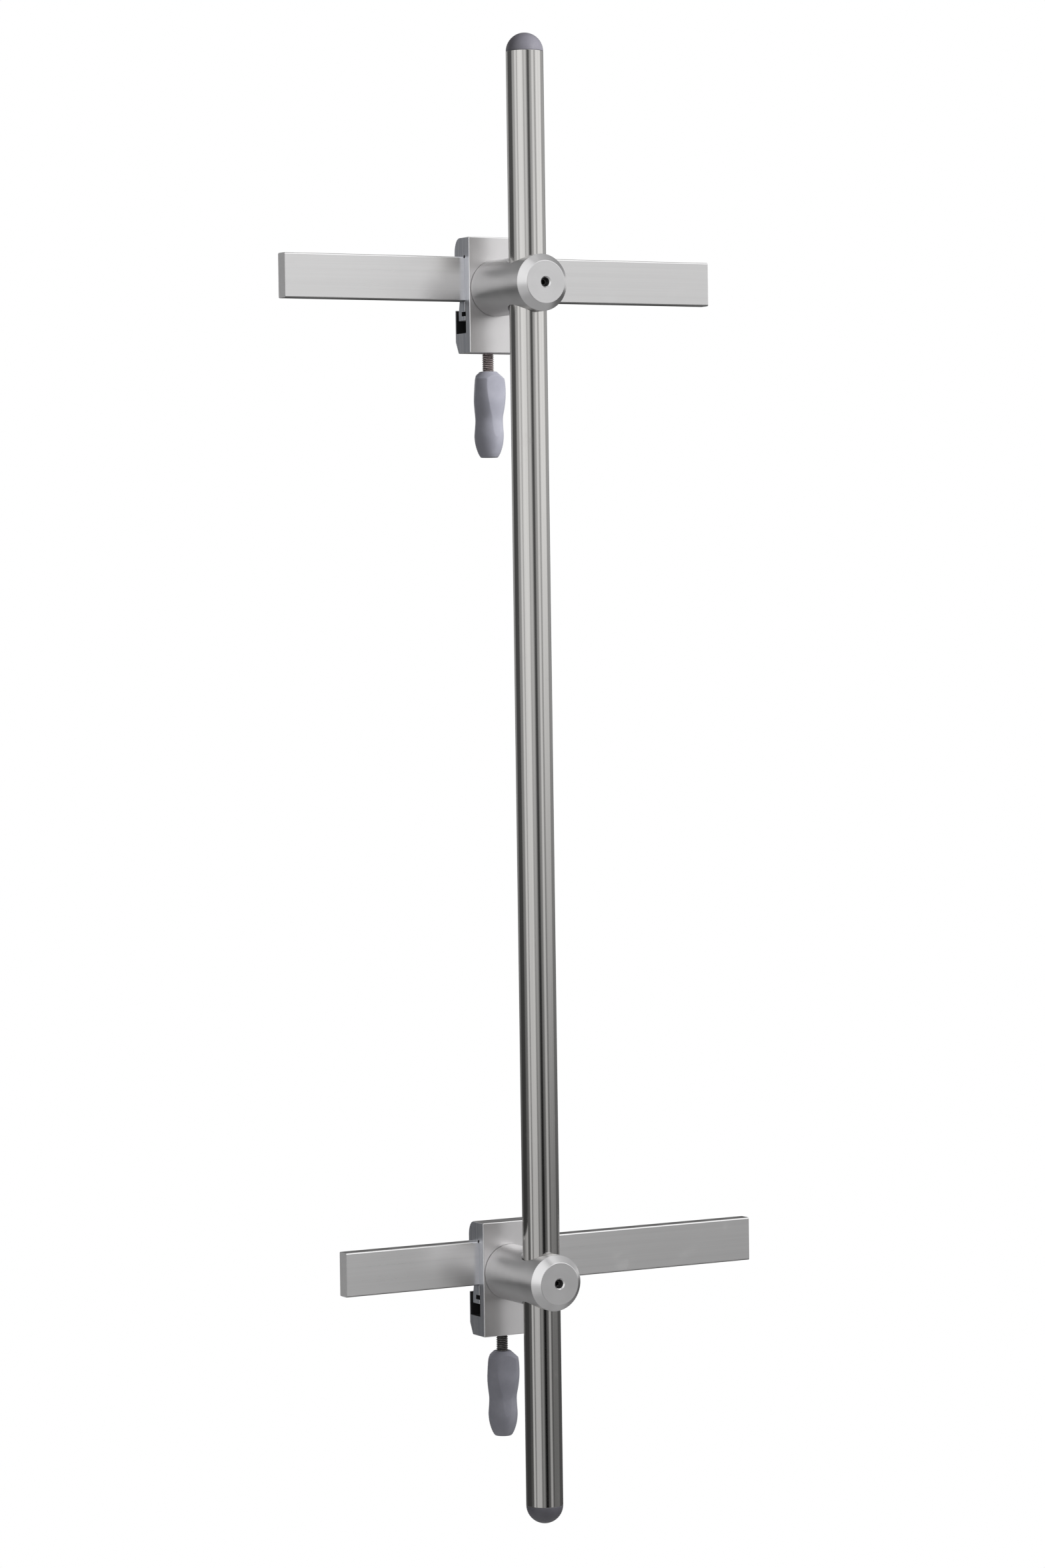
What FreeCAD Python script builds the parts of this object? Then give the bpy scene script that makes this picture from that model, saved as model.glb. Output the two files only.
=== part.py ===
import FreeCAD, Part
import math
import os

# Infusion pole held on two horizontal equipment rails by two screw clamps.
# Millimetres. X runs along the rails, -Y points out into the room, +Z is up.
# The origin is the middle of the lower rail's back face, in line with the pole.

V = FreeCAD.Vector
X, Y, Z = V(1, 0, 0), V(0, 1, 0), V(0, 0, 1)

# ---- Driving dimensions -------------------------------------------------------------------

# rails
rail_height = 30.0
rail_depth = 10.0
rail_edge_radius = 1.6
rail_spacing = 668.0          # lower rail's centre to upper rail's centre
rail_reach = {"upper": (155.0, 172.0), "lower": (121.0, 196.0)}   # left and right of the pole

# pole and its end caps
pole_radius = 12.5
pole_length = 1000.0          # over both end caps
pole_wall = 1.5
pole_below_lower_holder = 165.0
cap_spigot_length = 14.0
cap_spigot_wall = 2.0
cap_lead_in = 1.0

# clamp block, an extruded section that hooks over the rail
block_width = 40.0
block_above_rail = 13.0
block_below_rail = 35.0
front_wall = 6.5
rail_clearance = 0.2          # behind the rail, between its back and the hook
hook_wall = 4.3
hook_reach = 8.0              # how far the hook comes down behind the rail
crown_depth = 7.0             # rounded top back corner
crown_height = 10.0
crown_facets = 8              # straight steps in the rounded corner
foot_chamfer_depth = 4.0      # sloped bottom back corner
foot_chamfer_height = 8.0
relief_radius = 1.1           # groove in the slot's top front corner
block_edge = 0.5              # broken sharp edges

# channel for the jaw, open at both sides of the block
channel_height = 21.5         # from the rail's underside down to the channel's floor
channel_relief = 0.9          # the channel cuts this much further forward than the rail slot
lip_wall = 1.7
lip_below_rail = 5.8          # the rail's underside to the lip's top

# jaw
jaw_height = 13.0
jaw_depth = 9.2
jaw_width = 39.6
jaw_front_gap = 1.5           # the channel's front wall to the jaw
jaw_travel = 8.0
jaw_back_taper = 1.5
jaw_taper_height = 7.5
key_slot_height = 3.0
key_slot_depth = 4.7
key_slot_drop = 7.0           # the jaw's top to the slot's top
jaw_edge = 0.4

# spindle, M8 with a neck that the retaining key holds
spindle_radius = 4.0
spindle_offset = 0.3          # how far its axis stands behind the jaw's middle
neck_radius = 2.8
spindle_tip = 2.9             # the part above the neck, in the jaw
spindle_free = 12.0           # thread that shows between the block and the handle
spindle_in_handle = 30.0
thread_clearance = 0.05
socket_clearance = 0.08
key_clearance = 0.05
neck_clearance = 0.3          # between the neck and the key round it
key_width = 16.0
spindle_tip_chamfer = 0.6

# grip handle, a turned shape with a conical top and three tongue-shaped flats
handle_length = 58.3
handle_top_radius = 5.7
handle_cone_radius = 11.0
handle_cone_height = 4.9
handle_side = (               # drop below the handle's top, radius
    (9.0, 11.5), (14.0, 11.7), (19.0, 11.5), (24.5, 10.8), (31.0, 9.65), (36.5, 9.65),
    (42.5, 10.0), (47.0, 9.75), (51.0, 9.0), (55.0, 7.65), (57.4, 6.4))
handle_bottom_radius = 5.6
handle_flats = 3
flat_line = (                 # drop below the handle's top, distance from the axis
    (-1.0, 8.0), (5.0, 8.65), (13.0, 9.25), (20.0, 9.6), (27.0, 9.3), (33.0, 9.0),
    (38.0, 9.35), (43.0, 9.85), (48.0, 10.3))
handle_turn = {"upper": 36.0, "lower": 22.0}   # the first flat's heading from +X, degrees

# pole holder, a turned bar with a cross bore for the pole
holder_radius = 19.0
holder_below_rail_centre = 6.5
holder_chamfer_radial = 4.7
holder_chamfer_length = 5.5
pole_standoff = 45.0          # the block's front face to the pole's axis
holder_beyond_pole = 25.0     # the pole's axis to the holder's front face
bore_clearance = 0.1
bore_mouth_depth = 1.4        # how far the wider mouth reaches into the bore
bore_mouth_slope = 0.32       # how much its radius grows per millimetre of height

# what fastens the holder to the block
fixing_radius = 4.0           # M8 countersunk screw
fixing_head_radius = 7.5
fixing_head_height = 3.7
fixing_length = 25.0
fixing_socket_flats = 5.0
fixing_socket_depth = 2.6
pin_radius = 2.0
pin_offset = 12.0             # above the holder's axis
pin_in_holder = 7.0
pin_below_slot = 0.5          # its end sits this far under the rail slot's wall

# what locks the pole in the holder
set_screw_radius = 3.0        # M6
set_screw_length = 6.0
set_screw_clearance = 0.05
set_screw_flats = 3.0
set_screw_socket_depth = 3.2
hole_countersink_radius = 3.9
hole_countersink_depth = 1.0
pad_length = 2.5
pad_clearance = 0.1
pad_gap = 0.15                # between the pad and the pole

# ---- Places that follow from them ---------------------------------------------------------

rail_front = -rail_depth
block_front = rail_front - front_wall
hook_inside = rail_clearance
block_back = hook_inside + hook_wall
pole_y = block_front - pole_standoff
holder_front = pole_y - holder_beyond_pole
channel_front = rail_front - channel_relief
jaw_front = channel_front + jaw_front_gap
jaw_back = jaw_front + jaw_depth
spindle_y = (jaw_front + jaw_back) / 2 + spindle_offset
pole_bottom = -holder_below_rail_centre - pole_below_lower_holder
pole_top = pole_bottom + pole_length
pole_bore = pole_radius + bore_clearance
tube_bore = pole_radius - pole_wall
rail_centre = {"upper": rail_spacing, "lower": 0.0}


# ---- Small tools --------------------------------------------------------------------------

def cylinder(radius, start, direction, length):
    """A round bar from a point, along a direction."""
    return Part.makeCylinder(radius, length, start, direction)


def block_of(x_range, y_range, z_range):
    """A box between two values on each axis."""
    low = V(x_range[0], y_range[0], z_range[0])
    size = [high - lower for lower, high in (x_range, y_range, z_range)]
    return Part.makeBox(size[0], size[1], size[2], low)


def polygon_face(points):
    """A flat face with straight sides through the points."""
    return Part.Face(Part.makePolygon(list(points) + [points[0]]))


def along_x(outline, width):
    """An outline of (y, z) points extruded along X, centred on the pole."""
    face = polygon_face([V(-width / 2, y, z) for y, z in outline])
    return face.extrude(X * width)


def hexagon_socket(centre, direction, flats, depth):
    """A hexagonal hole, as a tool, that starts at a point and runs along a direction."""
    side = direction.cross(X)
    corner = flats / 2 / math.cos(math.pi / 6)
    turns = [math.pi / 3 * n for n in range(6)]
    points = [centre + X * (corner * math.cos(t)) + side * (corner * math.sin(t)) for t in turns]
    return polygon_face(points).extrude(direction * depth)


def is_straight_along(edge, direction):
    """Whether an edge is a straight line that runs along a direction."""
    return edge.Curve.TypeId == "Part::GeomLine" and abs(edge.Curve.Direction.dot(direction)) > 0.999


def save(shape, node):
    """Write one sub-part's file."""
    if not shape.isValid():
        raise ValueError(node + " isn't a valid solid")
    shape.exportStep("parts/" + node + ".step")
    print(node, len(shape.Solids), "solid(s),", round(shape.Volume / 1000, 2), "cm3")


# ---- Rails and pole -----------------------------------------------------------------------

def rail(level):
    """A length of flat rail with its four long edges rounded."""
    left, right = rail_reach[level]
    middle = rail_centre[level]
    z_range = (middle - rail_height / 2, middle + rail_height / 2)
    bar = block_of((-left, right), (rail_front, 0), z_range)
    return bar.makeFillet(rail_edge_radius, [e for e in bar.Edges if is_straight_along(e, X)])


def pole_tube():
    """The tube, which ends where the domed caps begin."""
    length = pole_length - 2 * pole_radius
    foot = V(0, pole_y, pole_bottom + pole_radius)
    return cylinder(pole_radius, foot, Z, length).cut(cylinder(tube_bore, foot, Z, length))


def end_cap(upward):
    """A domed cap with a hollow spigot that plugs into the tube; upward is 1 or -1."""
    direction = Z * upward
    seat = pole_top - pole_radius if upward > 0 else pole_bottom + pole_radius
    centre = V(0, pole_y, seat)
    dome = Part.makeSphere(pole_radius, centre, direction, 0, 90, 360)
    spigot = cylinder(tube_bore, centre, direction * -1, cap_spigot_length)
    spigot = spigot.makeChamfer(cap_lead_in, [end_edge(spigot, centre - direction * cap_spigot_length)])
    hollow = cylinder(tube_bore - cap_spigot_wall, centre, direction * -1, cap_spigot_length)
    return dome.fuse(spigot).cut(hollow).removeSplitter()


def end_edge(bar, centre):
    """The round edge of a bar whose centre is at a point."""
    rings = [e for e in bar.Edges if e.Curve.TypeId == "Part::GeomCircle"]
    return min(rings, key=lambda e: e.Curve.Center.distanceToPoint(centre))


# ---- Clamp --------------------------------------------------------------------------------

def clamp_block(middle):
    """The extruded block: rail slot, hook, jaw channel and lip, with the holes for its fasteners."""
    top = middle + rail_height / 2 + block_above_rail
    bottom = middle - rail_height / 2 - block_below_rail
    rail_top = middle + rail_height / 2
    rail_under = middle - rail_height / 2
    lip_front = block_back - lip_wall
    outline = [
        (block_front, bottom),
        (block_front, top),
        (block_back - crown_depth, top),
    ]
    outline += crown(top)
    outline += [
        (block_back, rail_top - hook_reach),
        (hook_inside, rail_top - hook_reach),
        (hook_inside, rail_top),
        (rail_front, rail_top),
        (rail_front, rail_under),
        (channel_front, rail_under - channel_relief),
        (channel_front, rail_under - channel_height),
        (lip_front, rail_under - channel_height),
        (lip_front, rail_under - lip_below_rail),
        (block_back, rail_under - lip_below_rail),
        (block_back, bottom + foot_chamfer_height),
        (block_back - foot_chamfer_depth, bottom),
    ]
    block = along_x(outline, block_width)
    block = block.makeChamfer(block_edge, [e for e in block.Edges if is_on_front(e)])
    relief = cylinder(relief_radius, V(-block_width / 2, rail_front, rail_top), X, block_width)
    thread = cylinder(spindle_radius + thread_clearance, V(0, spindle_y, bottom), Z, top - bottom)
    thread = thread.common(block_of(
        (-block_width, block_width), (block_front, block_back), (bottom, rail_under - channel_height)))
    holder_z = middle - holder_below_rail_centre
    for tool in (relief, thread, fixing_screw_body(holder_z), dowel(holder_z)):
        block = block.cut(tool)
    return block


def crown(top):
    """Points of the rounded corner over the hook, a quarter of an ellipse."""
    turns = [math.pi / 2 * n / crown_facets for n in range(1, crown_facets + 1)]
    start = block_back - crown_depth
    foot = top - crown_height
    return [(start + crown_depth * math.sin(t), foot + crown_height * math.cos(t)) for t in turns]


def is_on_front(edge):
    """Whether an edge is one of the front face's four, which are broken."""
    return all(abs(v.Point.y - block_front) < 1e-6 for v in edge.Vertexes)


def pole_holder(middle):
    """The turned holder: chamfered front, cross bore for the pole, holes for its fasteners."""
    z = middle - holder_below_rail_centre
    length = block_front - holder_front
    bar = cylinder(holder_radius, V(0, block_front, z), Y * -1, length)
    front_cone = Part.makeCone(
        holder_radius, holder_radius - holder_chamfer_radial, holder_chamfer_length,
        V(0, holder_front + holder_chamfer_length, z), Y * -1)
    body = bar.cut(block_of(
        (-holder_radius, holder_radius),
        (holder_front, holder_front + holder_chamfer_length),
        (z - holder_radius, z + holder_radius)))
    body = body.fuse(front_cone).removeSplitter()
    cuts = [cylinder(pole_bore, V(0, pole_y, z - holder_radius), Z, 2 * holder_radius)]
    cuts += [bore_mouth_cutter(z, side) for side in (1, -1)]
    cuts.append(cylinder(set_screw_radius + set_screw_clearance, V(0, pole_y, z), Y * -1, holder_beyond_pole))
    cuts.append(Part.makeCone(
        hole_countersink_radius, set_screw_radius, hole_countersink_depth, V(0, holder_front, z), Y))
    for tool in cuts:
        body = body.cut(tool)
    return body.cut(fixing_screw_body(z)).cut(dowel(z))


def bore_mouth_cutter(z, side):
    """A short wider stretch at one mouth of the pole's bore; side is 1 above and -1 below."""
    shoulder = math.sqrt(holder_radius ** 2 - pole_bore ** 2) - bore_mouth_depth
    height = holder_radius - shoulder
    start = V(0, pole_y, z + side * shoulder)
    return Part.makeCone(pole_bore, pole_bore + bore_mouth_slope * height, height, start, Z * side)


def fixing_screw_body(z):
    """The countersunk screw without its socket, head end in the rail slot's wall."""
    head_face = V(0, rail_front, z)
    neck = V(0, rail_front - fixing_head_height, z)
    head = Part.makeCone(fixing_head_radius, fixing_radius, fixing_head_height, head_face, Y * -1)
    shank = cylinder(fixing_radius, neck, Y * -1, fixing_length - fixing_head_height)
    return head.fuse(shank).removeSplitter()


def fixing_screw(middle):
    """The screw that pulls the holder against the block."""
    z = middle - holder_below_rail_centre
    socket = hexagon_socket(V(0, rail_front, z), Y * -1, fixing_socket_flats, fixing_socket_depth)
    return fixing_screw_body(z).cut(socket)


def dowel(z):
    """The plain pin that keeps the holder from turning on the block."""
    start = V(0, rail_front - pin_below_slot, z + pin_offset)
    return cylinder(pin_radius, start, Y * -1, front_wall - pin_below_slot + pin_in_holder)


def clamp_jaw(middle):
    """The sliding jaw: tapered back, a slot for the key and a blind socket for the spindle."""
    top = middle - rail_height / 2
    bottom = top - jaw_height
    slot_top = top - key_slot_drop
    outline = [
        (jaw_front, bottom),
        (jaw_front, slot_top - key_slot_height),
        (jaw_front + key_slot_depth, slot_top - key_slot_height),
        (jaw_front + key_slot_depth, slot_top),
        (jaw_front, slot_top),
        (jaw_front, top - jaw_edge),
        (jaw_front + jaw_edge, top),
        (jaw_back - jaw_back_taper, top),
        (jaw_back, top - jaw_taper_height),
        (jaw_back, bottom + jaw_edge),
        (jaw_back - jaw_edge, bottom),
    ]
    body = along_x(outline, jaw_width)
    socket_top = slot_top + spindle_tip
    return body.cut(cylinder(
        spindle_radius + socket_clearance, V(0, spindle_y, bottom), Z, socket_top - bottom))


def retaining_key(middle):
    """A flat key in the jaw's slot that sits round the front half of the spindle's neck."""
    slot_top = middle - rail_height / 2 - key_slot_drop
    height = key_slot_height - 2 * key_clearance
    low = slot_top - key_slot_height + key_clearance
    plate = block_of(
        (-key_width / 2, key_width / 2), (jaw_front, jaw_front + key_slot_depth - key_clearance),
        (low, low + height))
    return plate.cut(cylinder(neck_radius + neck_clearance, V(0, spindle_y, low), Z, height))


def clamp_spindle(middle):
    """The threaded spindle: tip and neck in the jaw, thread through the block, end in the handle."""
    slot_top = middle - rail_height / 2 - key_slot_drop
    tip_top = slot_top + spindle_tip
    neck_low = slot_top - key_slot_height
    end = middle - rail_height / 2 - block_below_rail - spindle_free - spindle_in_handle
    tip = cylinder(spindle_radius, V(0, spindle_y, slot_top), Z, spindle_tip)
    tip = tip.makeChamfer(spindle_tip_chamfer, [end_edge(tip, V(0, spindle_y, tip_top))])
    neck = cylinder(neck_radius, V(0, spindle_y, neck_low), Z, key_slot_height)
    thread = cylinder(spindle_radius, V(0, spindle_y, end), Z, neck_low - end)
    return tip.fuse(neck).fuse(thread).removeSplitter()


def smooth_curve(points):
    """A smooth edge through points."""
    curve = Part.BSplineCurve()
    curve.interpolate(points)
    return curve.toShape()


def turned_grip():
    """The grip before its flats are cut, on the Z axis with its top at zero."""
    cone_end = V(handle_cone_radius, 0, -handle_cone_height)
    side = [cone_end] + [V(radius, 0, -drop) for drop, radius in handle_side]
    bottom = V(handle_bottom_radius, 0, -handle_length)
    foot = V(0, 0, -handle_length)
    top = V(handle_top_radius, 0, 0)
    edges = [
        Part.makeLine(V(0, 0, 0), top),
        Part.makeLine(top, cone_end),
        smooth_curve(side),
        Part.makeLine(side[-1], bottom),
        Part.makeLine(bottom, foot),
        Part.makeLine(foot, V(0, 0, 0)),
    ]
    return Part.Face(Part.Wire(edges)).revolve(V(0, 0, 0), Z, 360)


def flat_cutter():
    """What is cut away outside one flat, facing +X."""
    line = [V(distance, 0, -drop) for drop, distance in flat_line]
    outside = 2 * handle_cone_radius
    corners = [line[-1], V(outside, 0, line[-1].z), V(outside, 0, line[0].z), line[0]]
    edges = [smooth_curve(line)]
    edges += [Part.makeLine(a, b) for a, b in zip(corners, corners[1:])]
    slab = Part.Face(Part.Wire(edges)).extrude(Y * (2 * outside))
    slab.translate(Y * -outside)
    return slab


def clamp_handle(level):
    """The moulded grip: round and waisted, with flats that narrow to tongues down its length."""
    top = rail_centre[level] - rail_height / 2 - block_below_rail - spindle_free
    grip = turned_grip()
    for n in range(handle_flats):
        cutter = flat_cutter()
        cutter.rotate(V(0, 0, 0), Z, handle_turn[level] + 360 / handle_flats * n)
        grip = grip.cut(cutter)
    grip = grip.cut(cylinder(spindle_radius, V(0, 0, 0), Z * -1, spindle_in_handle))
    grip.translate(V(0, spindle_y, top))
    return grip


def pressure_pad(middle):
    """The soft pad that the set screw drives against the pole."""
    z = middle - holder_below_rail_centre
    start = V(0, pole_y - pole_radius - pad_gap, z)
    return cylinder(set_screw_radius - pad_clearance, start, Y * -1, pad_length)


def set_screw(middle):
    """The socket set screw in the holder's front, flush against the pad."""
    z = middle - holder_below_rail_centre
    inner = pole_y - pole_radius - pad_gap - pad_length
    outer = inner - set_screw_length
    body = cylinder(set_screw_radius, V(0, inner, z), Y * -1, set_screw_length)
    return body.cut(hexagon_socket(V(0, outer, z), Y, set_screw_flats, set_screw_socket_depth))


# ---- Build --------------------------------------------------------------------------------

def main():
    os.makedirs("parts", exist_ok=True)
    save(pole_tube(), "pole_tube")
    save(end_cap(1), "top_end_cap")
    save(end_cap(-1), "bottom_end_cap")
    for level, middle in rail_centre.items():
        save(rail(level), level + "_rail")
        save(clamp_block(middle), level + "_clamp_block")
        save(pole_holder(middle), level + "_pole_holder")
        save(fixing_screw(middle), level + "_holder_screw")
        save(dowel(middle - holder_below_rail_centre), level + "_holder_dowel")
        save(clamp_jaw(middle), level + "_clamp_jaw")
        save(retaining_key(middle), level + "_spindle_key")
        save(clamp_spindle(middle), level + "_clamp_spindle")
        save(clamp_handle(level), level + "_clamp_handle")
        save(pressure_pad(middle), level + "_pressure_pad")
        save(set_screw(middle), level + "_set_screw")


main()
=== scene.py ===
# %% [markdown]
# # A rail-mounted infusion pole
#
# The real object is a stainless tube with a plastic dome on each end. Two aluminium clamps hook over flat
# rails on a wall and hold the tube upright. Under each clamp hangs a screw with a moulded grip.
#
# The CAD already fixes every size and every place, so this lesson only makes each piece look as it does
# in the hand: it gives thin edges a small radius, cuts the real thread, and grinds, turns and saws the
# finishes in. The imported model is loaded first.

# %% Load the fixed frame
import bmesh
import bpy
import math
from mathutils import Matrix, Vector


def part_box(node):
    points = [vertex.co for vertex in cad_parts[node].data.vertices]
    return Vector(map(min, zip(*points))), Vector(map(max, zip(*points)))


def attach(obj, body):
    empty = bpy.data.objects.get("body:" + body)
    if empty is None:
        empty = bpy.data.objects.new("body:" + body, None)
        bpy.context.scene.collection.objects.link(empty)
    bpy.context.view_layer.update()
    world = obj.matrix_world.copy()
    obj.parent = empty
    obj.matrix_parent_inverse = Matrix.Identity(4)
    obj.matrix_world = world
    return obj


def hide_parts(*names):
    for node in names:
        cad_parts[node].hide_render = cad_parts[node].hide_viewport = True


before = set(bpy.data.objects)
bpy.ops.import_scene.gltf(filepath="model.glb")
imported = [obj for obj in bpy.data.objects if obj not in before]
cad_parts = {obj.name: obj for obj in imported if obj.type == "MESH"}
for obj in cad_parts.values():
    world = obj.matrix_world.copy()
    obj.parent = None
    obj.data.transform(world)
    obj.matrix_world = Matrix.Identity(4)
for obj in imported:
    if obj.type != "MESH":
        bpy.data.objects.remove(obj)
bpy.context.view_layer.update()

# %% [markdown]
# ## Places and sizes taken from the CAD
#
# Both clamps are the same, so each of their pieces is modelled once at the lower rail and copied to the
# upper one. Everything is placed from the boxes of the CAD nodes. Blender works in metres, and a maker
# thinks in millimetres, so one value turns one into the other.

# %% Main places
mm = 0.001
levels = ("lower", "upper")


def middle(node):
    """The centre of a CAD node's box."""
    low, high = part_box(node)
    return (low + high) / 2


pole_axis = middle("pole_tube")
rail_z = {level: middle(level + "_rail").z for level in levels}
rise = {level: Vector((0, 0, rail_z[level] - rail_z["lower"])) for level in levels}
block_low, block_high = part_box("lower_clamp_block")
holder_low, holder_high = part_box("lower_pole_holder")
jaw_low, jaw_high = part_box("lower_clamp_jaw")
spindle_low, spindle_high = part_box("lower_clamp_spindle")
grip_low, grip_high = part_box("lower_clamp_handle")
spindle_axis = (spindle_low + spindle_high) / 2
holder_z = (holder_low.z + holder_high.z) / 2
print("rails are", round(rise["upper"].z / mm, 1), "mm apart; pole axis at", [round(v, 4) for v in pole_axis])

# %% [markdown]
# ## Tools of the bench
#
# Blender's operators act on whatever is selected, as hands act on whatever they hold. So each helper
# first lets go of everything, then takes up one piece. In edit mode, faces and edges are chosen by where
# they are, and then an operator shapes them. Holes are cut with a boolean modifier, which keeps the walls
# exact.

# %% Pick up, pick out, cut and break edges
def hold(piece):
    """Select one piece alone and make it active."""
    bpy.ops.object.select_all(action="DESELECT")
    piece.select_set(True)
    bpy.context.view_layer.objects.active = piece


def primitive(shape, **size):
    """Add a primitive at its size and place, with its object left at the origin."""
    bpy.ops.object.select_all(action="DESELECT")
    getattr(bpy.ops.mesh, "primitive_" + shape + "_add")(**size)
    bpy.ops.object.transform_apply(location=True, rotation=True, scale=True)
    return bpy.context.active_object


def bar(low, high):
    """A square bar between two corners."""
    low, high = Vector(low), Vector(high)
    return primitive("cube", size=1, location=(low + high) / 2, scale=high - low)


def rod(radius, start, end, sides=96, end_radius=None):
    """A round rod between two points, or a cone if its end has another radius."""
    start, end = Vector(start), Vector(end)
    turn = Vector((0, 0, 1)).rotation_difference(end - start).to_euler()
    place = dict(vertices=sides, depth=(end - start).length, location=(start + end) / 2, rotation=turn)
    if end_radius is None:
        return primitive("cylinder", radius=radius, **place)
    return primitive("cone", radius1=radius, radius2=end_radius, **place)


def edit(piece):
    """Open a piece in edit mode with all of it selected."""
    hold(piece)
    bpy.ops.object.mode_set(mode="EDIT")
    bpy.ops.mesh.select_mode(type="VERT")
    bpy.ops.mesh.select_all(action="SELECT")


def close():
    """Leave edit mode."""
    bpy.ops.object.mode_set(mode="OBJECT")


def pick(piece, kind, test):
    """Select only the faces, edges or vertices that pass a test, in edit mode."""
    bpy.ops.mesh.select_mode(type=kind)
    bpy.ops.mesh.select_all(action="DESELECT")
    mesh = bmesh.from_edit_mesh(piece.data)
    elements = {"FACE": mesh.faces, "EDGE": mesh.edges, "VERT": mesh.verts}[kind]
    chosen = [element for element in elements if test(element)]
    for element in chosen:
        element.select_set(True)
    bmesh.update_edit_mesh(piece.data)
    return len(chosen)


def apply(piece, kind, **settings):
    """Add a modifier with its settings and apply it."""
    modifier = piece.modifiers.new(kind.lower(), kind)
    for key, value in settings.items():
        setattr(modifier, key, value)
    hold(piece)
    bpy.ops.object.modifier_apply(modifier=modifier.name)


def cut(piece, *tools):
    """Cut the shapes of other pieces out of one, and throw them away."""
    for tool in tools:
        apply(piece, "BOOLEAN", object=tool, operation="DIFFERENCE", solver="MANIFOLD")
        bpy.data.objects.remove(tool)


def plane_off(piece, point, outwards):
    """Plane away all that lies beyond a flat, and close the cut."""
    edit(piece)
    bpy.ops.mesh.bisect(plane_co=point, plane_no=Vector(outwards).normalized(), use_fill=True,
                        clear_outer=True, threshold=0.0000001)
    close()


def break_edges(piece, width, angle=35, segments=2):
    """Round every edge that is sharper than an angle."""
    apply(piece, "BEVEL", width=width, segments=segments, limit_method="ANGLE",
          angle_limit=math.radians(angle), use_clamp_overlap=True)


def smooth(piece, angle=50):
    """Shade a piece smooth, except over edges sharper than an angle, and keep its wide faces flat."""
    hold(piece)
    bpy.ops.object.shade_smooth_by_angle(angle=math.radians(angle))
    apply(piece, "WEIGHTED_NORMAL", keep_sharp=True)


def open_edges(piece):
    """How many edges of a piece don't join exactly two faces; a closed solid has none."""
    mesh = bmesh.new()
    mesh.from_mesh(piece.data)
    count = sum(not edge.is_manifold for edge in mesh.edges)
    mesh.free()
    return count


# %% [markdown]
# A finished piece is a copy of its model with a mesh of its own. It rides on the CAD body that it belongs
# to, names the finish that it takes, and hides the plain CAD node that it stands for.

# %% Set a finished piece in place
def settle(model, name, body, nodes, finish, move=None):
    """Copy a model into place, with its body, material slot, finish and the CAD nodes it replaces."""
    piece = bpy.data.objects.new(name, model.data.copy())
    bpy.context.scene.collection.objects.link(piece)
    if move is not None:
        piece.data.transform(move)
    piece.data.materials.clear()
    piece.data.materials.append(finish)
    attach(piece, body)
    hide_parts(*nodes)
    piece.data.calc_loop_triangles()
    print(name, len(piece.data.loop_triangles), "triangles")
    return piece


def settle_both(model, name, body, node, finishes, turn_upper=None):
    """Set one model in place at both clamps, and throw the model away."""
    for level in levels:
        move = Matrix.Translation(rise[level])
        if turn_upper is not None and level == "upper":
            move = move @ turn_upper
        part = level + "_"
        settle(model, part + name, part + body, [part + node], finishes[level], move)
    bpy.data.objects.remove(model)


# %% [markdown]
# ## Shader arithmetic
#
# A finish is a small sum: roughness is a base value plus a little of a noise, minus a little where edges
# are worn. So a node's output is wrapped in a class that understands plus, minus and times, and each sum
# adds the Math nodes. One method adds every other kind of node.

# %% Sockets that do sums
class Value:
    """A number, colour or vector that varies over a surface: the output of a node."""

    def __init__(self, finish, socket):
        self.finish, self.socket = finish, socket

    def sum(self, operation, *values):
        return self.finish.add("ShaderNodeMath", {"operation": operation}, dict(enumerate(values)))[0]

    def __add__(self, other):
        return self.sum("ADD", self, other)

    def __sub__(self, other):
        return self.sum("SUBTRACT", self, other)

    def __rsub__(self, other):
        return self.sum("SUBTRACT", other, self)

    def __mul__(self, other):
        return self.sum("MULTIPLY", self, other)

    def __truediv__(self, other):
        return self.sum("DIVIDE", self, other)

    def __pow__(self, other):
        return self.sum("POWER", self, other)

    def __abs__(self):
        return self.sum("ABSOLUTE", self)

    __radd__, __rmul__ = __add__, __mul__

    def between(self, low, high):
        """0 below a low value, 1 above a high one, and a smooth step from one to the other."""
        settings = {"interpolation_type": "SMOOTHSTEP"}
        return self.finish.add("ShaderNodeMapRange", settings, {0: self, 1: low, 2: high})[0]


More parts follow.
